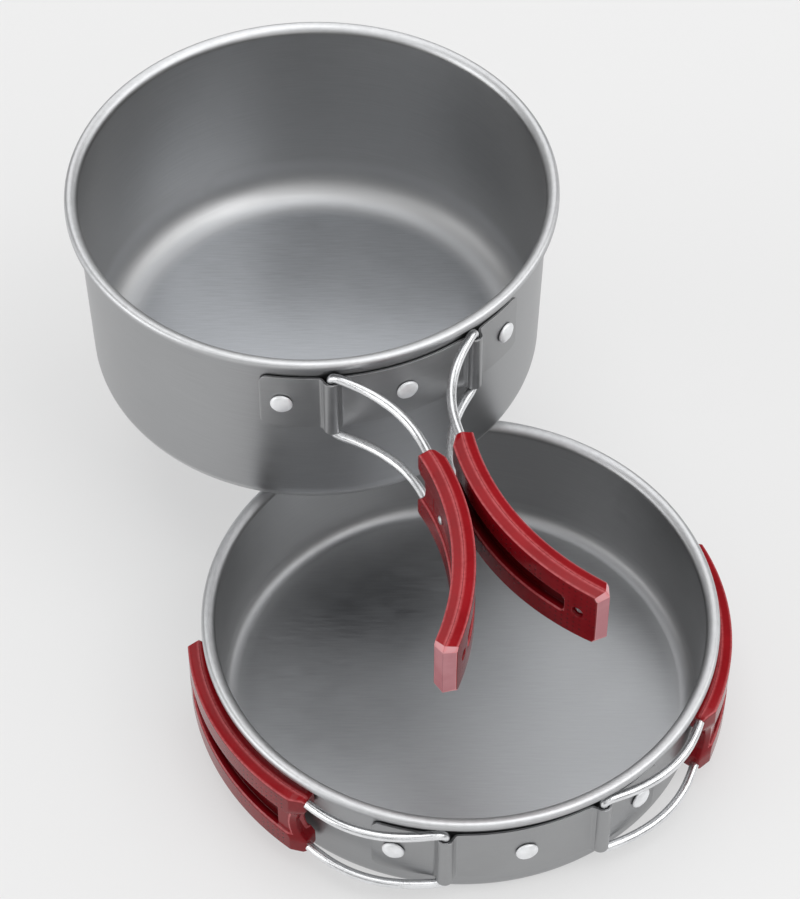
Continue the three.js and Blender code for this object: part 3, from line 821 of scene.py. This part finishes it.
def red_plastic(name):
    """Glossy dark red moulded plastic: rows of small dimples and flow marks, with painted light laid on:
    painted highlights along the long edges, the seam's ridge, the slot's upper lip and the tip's
    chamfer, a painted reflection on the tip's end, lighter painted top facets, and painted shade on
    the slot's floor.
    `reach` is below 0 in a sunk face, 1 at the long edges and END_FACE at the tip's end."""
    f = Finish(name, Coat_Weight=0.05, Coat_Roughness=0.05, Specular_IOR_Level=0.2)
    along, up, reach = f.split(f.add("Attribute", attribute_name="flat").outputs["Vector"])
    flow = f.ramp(f.noise(f.point, 60.0, 4.0, 0.6), 0.3, 0.7)
    fine = f.noise(f.point, 900.0, 3.0)
    cells = [f.math("DIVIDE", part, DIMPLE_PITCH) for part in (along, up)]
    across, over = (f.math("SUBTRACT", f.math("FRACT", cell), 0.5) for cell in cells)
    squares = f.math("ADD", f.math("MULTIPLY", across, across), f.math("MULTIPLY", over, over))
    off = f.math("SQRT", squares)
    sunk = f.math("MULTIPLY", reach, -1.0)
    on_face = f.math("MULTIPLY", f.ramp(reach, 0.86, 0.9, 1.0, 0.0), f.ramp(along, 6.0, 7.0))
    on_face = f.math("MULTIPLY", on_face, f.ramp(sunk, 0.2, 0.6, 1.0, 0.0))
    patchy = f.ramp(f.noise(f.point, 140.0, 2.0), 0.38, 0.55)
    dimple = f.math("MULTIPLY", f.ramp(off, 0.13, 0.2, 1.0, 0.0), f.math("MULTIPLY", on_face, patchy))
    # Painted light: the thin top facets between the long edges and the seam's ridge are picked out.
    lit_thin_facets = f.math("MULTIPLY", f.ramp(reach, 1.0, 1.02), f.ramp(reach, 1.1, 1.2, 1.0, 0.0))
    # Painted reflection: the tip's end face is painted pale pink.
    tip = f.ramp(reach, 2.0, 2.8)
    # Painted highlights: light lines along the slot's upper lip, the long edges and the seam's ridge.
    lip = f.math("MULTIPLY", f.ramp(sunk, 0.04, 0.14), f.ramp(sunk, 0.45, 0.7, 1.0, 0.0))
    edge = f.math("MULTIPLY", f.ramp(reach, 0.975, 0.99), f.ramp(reach, 1.0, 1.015, 1.0, 0.0))
    ridge = f.ramp(reach, 1.045, 1.06)
    painted_edge_highlight = f.math("MAXIMUM", f.math("MAXIMUM", lip, edge), f.math("MULTIPLY", ridge, 0.8))
    painted_edge_highlight = f.math("MULTIPLY", f.math("SUBTRACT", painted_edge_highlight, tip, clamp=True), f.ramp(fine, 0.3, 0.6, 0.6, 1.0))
    # Painted highlight on the tip's top chamfer.
    cut_start = GRIP_LENGTH - GRIP_TIP_CHAMFER
    cut = f.math("MULTIPLY", f.ramp(along, cut_start, cut_start + 0.2), f.ramp(reach, 0.95, 0.98))
    colour = f.blend(flow, (0.14, 0.0022, 0.005, 1), (0.19, 0.003, 0.007, 1))
    # The thin top facets are painted a lighter red than the broad faces, as painted light.
    colour = f.blend(lit_thin_facets, colour, f.blend(flow, (0.20, 0.003, 0.006, 1), (0.265, 0.004, 0.008, 1)))
    colour = f.blend(f.math("MULTIPLY", fine, 0.2), colour, (0.36, 0.010, 0.015, 1))
    # Painted shade: the deep floor of the slot is darkened.
    colour = f.blend(f.math("MULTIPLY", f.ramp(sunk, 0.8, 2.6), 0.75), colour, (0.025, 0.0005, 0.001, 1))
    colour = f.blend(f.math("MULTIPLY", dimple, 0.8), colour, (0.035, 0.001, 0.002, 1))
    # Lays the painted highlight on the tip's chamfer.
    colour = f.blend(f.math("MULTIPLY", cut, 0.7), colour, (0.80, 0.42, 0.44, 1))
    # Lays the painted reflection on the tip's end face.
    colour = f.blend(tip, colour, f.blend(flow, (0.42, 0.16, 0.18, 1), (0.50, 0.22, 0.24, 1)))
    # Lays the painted highlights on the edges, the ridge and the slot's lip.
    colour = f.blend(f.math("MULTIPLY", painted_edge_highlight, 0.5), colour, (0.70, 0.18, 0.19, 1))
    roughness = f.math("ADD", f.ramp(flow, 0.0, 1.0, 0.12, 0.19), f.math("MULTIPLY", fine, 0.05))
    bumps = f.math("MULTIPLY", f.math("ADD", flow, fine), 0.4)
    pits = f.math("SUBTRACT", bumps, f.math("MULTIPLY", dimple, 2.0))
    return f.paint(colour, roughness, pits, 0.00003, 0.4)


def pale_floor(name):
    """A plain table with a lit top, so that the shadows on it stay light."""
    f = Finish(name, Specular_IOR_Level=0.15, Emission_Color=(1.0, 1.0, 1.0, 1), Emission_Strength=0.49)
    cloud = f.noise(f.point, 1.3, 2.0)
    colour = f.blend(cloud, (0.305, 0.305, 0.305, 1), (0.315, 0.315, 0.315, 1))
    return f.paint(colour, f.ramp(cloud, 0.0, 1.0, 0.75, 0.85))


# ---- the set -------------------------------------------------------------------------------


def build_set():
    finishes = {name: spun_metal(f"{name}_anodised", vessel) for name, vessel in VESSELS.items()}
    strap = strap_metal("strap_anodised")
    rivet = bright_metal("rivet_aluminium", 0.97, 0.44, 1400.0, 0.00003, metallic=0.6)
    screw = bright_metal("screw_steel", 0.7, 0.26, 2200.0, 0.00001)
    wire = drawn_wire("drawn_steel_wire")
    plastic = red_plastic("red_plastic")
    for name in VESSELS:
        add_shell(name, finishes[name])
        add_bracket(name, strap)
        add_rivets(name, rivet)
        for side in SIDES:
            add_wire(name, side, wire)
            add_grip_half(name, side, "outer", plastic)
            add_grip_half(name, side, "inner", plastic)
            add_fitting(name, side, "grip_screw", "tip_screw", SCREW_AT, SCREW, screw)
            add_fitting(name, side, "grip_pin", "root_pin", PIN_AT, PIN, screw)


def square_up():
    """Puts each piece's turn into its mesh, so that its box lies along the frame's own axes."""
    bpy.context.view_layer.update()
    for made in bpy.context.scene.objects:
        if made.get("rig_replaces"):
            world = made.matrix_world.copy()
            made.data.transform(world.to_3x3().to_4x4())
            made.matrix_world = Matrix.Translation(world.translation)


# ---- stage, light and camera ---------------------------------------------------------------

# The camera's place and what it looks at, in metres, and its lens and sensor width in mm.
VIEW_FROM = Vector((-0.1725, -0.6024, 0.8469))
VIEW_AT = Vector((0.0073, 0.1132, 0.0))
LENS, SENSOR = 120.06, 36.0

# Square lamps that face MIDDLE: name, degrees round from +X, degrees up, and power in watts.
MIDDLE = Vector((0.0, 0.06, 0.04))
LAMP_FAR, LAMP_SIZE = 6.0, 4.2
LAMPS = [
    ("key_right", -45.0, 50.0, 118.0),
    ("side_right", 0.0, 36.0, 92.0),
    ("back", 85.0, 50.0, 68.0),
    ("front_left", -135.0, 50.0, 36.0),
    ("side_left", 180.0, 22.0, 130.0),
    ("front_low", -90.0, 22.0, 42.0),
    ("top", 90.0, 90.0, 112.0),
]


def add_stage():
    bpy.ops.mesh.primitive_plane_add(size=40.0)
    floor = bpy.context.active_object
    floor.name = "floor"
    floor.data.materials.append(pale_floor("pale_floor"))


def add_lights():
    world = bpy.data.worlds.new("studio")
    bpy.context.scene.world = world
    world.use_nodes = True
    back = world.node_tree.nodes["Background"]
    back.inputs["Color"].default_value = (1.0, 1.0, 1.0, 1)
    back.inputs["Strength"].default_value = 0.25
    for name, turn, height, power in LAMPS:
        lamp = bpy.data.lights.new(name, "AREA")
        lamp.size = LAMP_SIZE
        lamp.energy = power
        box = bpy.data.objects.new(name, lamp)
        turn, height = math.radians(turn), math.radians(height)
        level = math.cos(height)
        toward = Vector((math.cos(turn) * level, math.sin(turn) * level, math.sin(height)))
        box.location = MIDDLE + toward * LAMP_FAR
        box.rotation_euler = toward.to_track_quat("Z", "Y").to_euler()
        bpy.context.scene.collection.objects.link(box)


def add_camera():
    lens = bpy.data.cameras.new("camera")
    lens.lens = LENS
    lens.sensor_width = SENSOR
    camera = bpy.data.objects.new("camera", lens)
    camera.location = VIEW_FROM
    camera.rotation_euler = (VIEW_AT - VIEW_FROM).to_track_quat("-Z", "Y").to_euler()
    bpy.context.scene.collection.objects.link(camera)
    bpy.context.scene.camera = camera


build_set()
square_up()
add_stage()
add_lights()
add_camera()
bpy.context.scene.view_settings.view_transform = "Standard"
